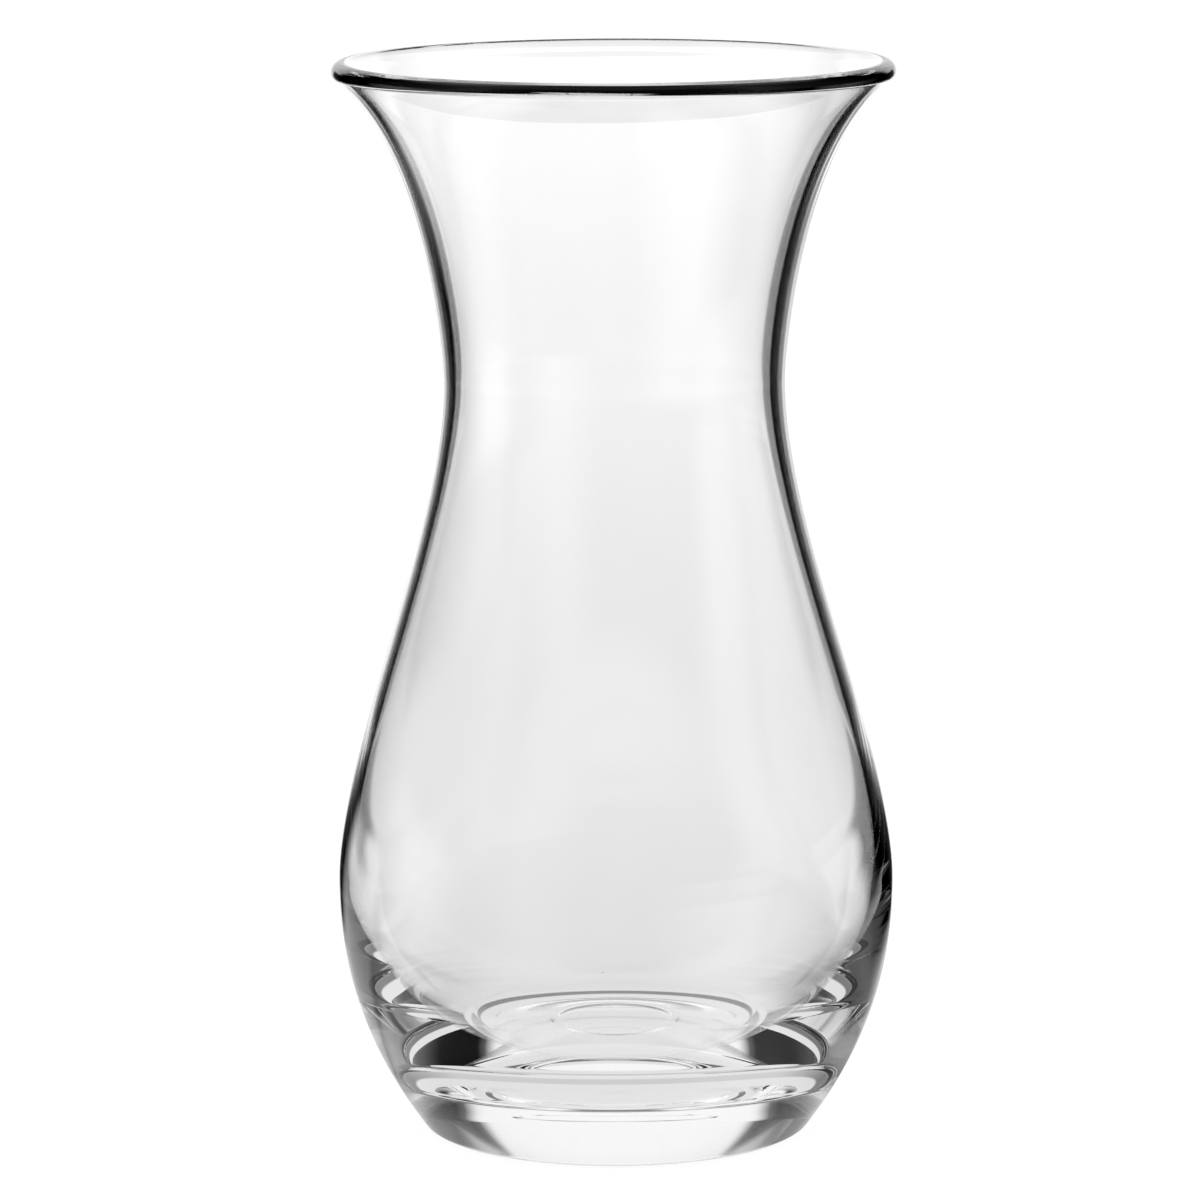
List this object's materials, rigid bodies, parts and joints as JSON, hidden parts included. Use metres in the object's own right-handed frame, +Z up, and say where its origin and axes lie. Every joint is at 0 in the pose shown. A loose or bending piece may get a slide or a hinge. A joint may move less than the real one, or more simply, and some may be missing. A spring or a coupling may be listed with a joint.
{
  "type": "hyacinth vase",
  "caption": "Clear blown-glass flower vase with a thick solid foot, round belly, drawn-in waist and flared mouth.",
  "frame": {"origin": "on the table, at the centre of the foot", "axes": "+Z up along the vase's axis of revolution, out of the mouth; X and Y are free, because the vase is round"},
  "size_m": [0.1142, 0.1142, 0.22],
  "materials": {
    "clear_glass": "clear, fire polished, ground flat under the foot"
  },
  "bodies": {
    "root": {"glass_vase": "clear_glass"}
  },
  "joints": []
}
